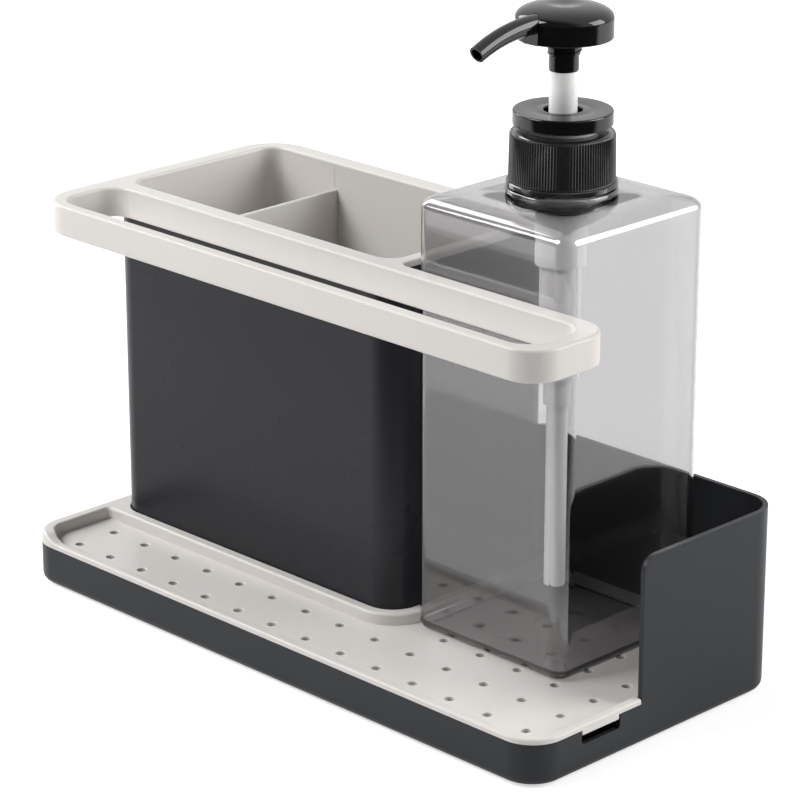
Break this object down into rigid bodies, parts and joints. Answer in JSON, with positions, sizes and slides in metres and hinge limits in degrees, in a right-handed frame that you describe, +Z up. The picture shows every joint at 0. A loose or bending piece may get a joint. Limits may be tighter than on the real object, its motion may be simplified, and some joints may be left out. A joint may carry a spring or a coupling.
{
  "type": "soap pump caddy",
  "caption": "Sink-side caddy with a perforated drip tray on a guarded base, a brush container under a cloth rail, and a square bottle with a press pump.",
  "frame": {"origin": "centre of the base's outline, on the surface that the feet rest on", "axes": "+X along the base's length towards the bottle and the splash guard, +Y from the cloth rail to the back, +Z up"},
  "size_m": [0.266, 0.127, 0.2455],
  "materials": {
    "dark_pp": "dark grey polypropylene, satin moulded",
    "dark_satin": "dark grey polypropylene, smooth satin moulded",
    "pale_pp": "pale warm grey polypropylene, fine matt moulded",
    "foot_rubber": "dark thermoplastic rubber",
    "smoke_petg": "smoke grey clear PETG, glossy moulded",
    "black_gloss": "black polypropylene, glossy moulded",
    "white_pp": "white polypropylene, smooth moulded",
    "white_pe": "white polyethylene",
    "clear_pe": "translucent white polyethylene tube",
    "steel_ball": "polished stainless steel",
    "spring_steel": "drawn stainless steel wire"
  },
  "bodies": {
    "base": {"base_tray": "dark_pp", "foot_front_left": "foot_rubber", "foot_front_right": "foot_rubber", "foot_rear_left": "foot_rubber", "foot_rear_right": "foot_rubber"},
    "tray": {"drip_tray": "pale_pp"},
    "brush_container": {"container": "dark_satin"},
    "rail_organiser": {"organiser": "pale_pp"},
    "divider": {"compartment_divider": "pale_pp"},
    "soap_bottle": {"bottle": "smoke_petg"},
    "pump": {"pump_housing": "white_pp", "neck_gasket": "white_pe", "stem_guide": "white_pp", "lock_disc": "black_gloss", "dip_tube": "clear_pe", "return_spring": "spring_steel"},
    "closure": {"closure_collar": "black_gloss"},
    "check_ball": {"inlet_ball": "steel_ball"},
    "plunger": {"stem": "white_pp", "piston": "white_pe"},
    "pump_head": {"nozzle": "black_gloss", "head_cap": "black_gloss"}
  },
  "joints": [
    {"name": "tray_lift", "type": "slide", "parent": "base", "child": "tray", "axis": [0, 0, 1], "range_m": [0, 0.08]},
    {"name": "container_lift", "type": "slide", "parent": "tray", "child": "brush_container", "axis": [0, 0, 1], "range_m": [0, 0.07]},
    {"name": "organiser_lift", "type": "slide", "parent": "brush_container", "child": "rail_organiser", "axis": [0, 0, 1], "range_m": [0, 0.07]},
    {"name": "divider_lift", "type": "slide", "parent": "rail_organiser", "child": "divider", "axis": [0, 0, 1], "range_m": [0, 0.065]},
    {"name": "bottle_lift", "type": "slide", "parent": "tray", "child": "soap_bottle", "axis": [0, 0, 1], "range_m": [0, 0.14]},
    {"name": "pump_lift", "type": "slide", "parent": "soap_bottle", "child": "pump", "axis": [0, 0, 1], "range_m": [0, 0.175]},
    {"name": "closure_turn", "type": "hinge", "parent": "pump", "child": "closure", "pos_m": [0.0668, 0.018, 0.1982], "axis": [0, 0, 1], "range_deg": [0, 540]},
    {"name": "ball_rise", "type": "slide", "parent": "pump", "child": "check_ball", "axis": [0, 0, 1], "range_m": [0, 0.0015]},
    {"name": "pump_press", "type": "slide", "parent": "pump", "child": "plunger", "axis": [0, 0, -1], "range_m": [0, 0.022], "stiffness_N_per_m": 350, "springref_m": -0.01, "deforming": ["return_spring"]},
    {"name": "head_turn", "type": "hinge", "parent": "plunger", "child": "pump_head", "pos_m": [0.0668, 0.018, 0.2221], "axis": [0, 0, 1], "continuous": true}
  ]
}
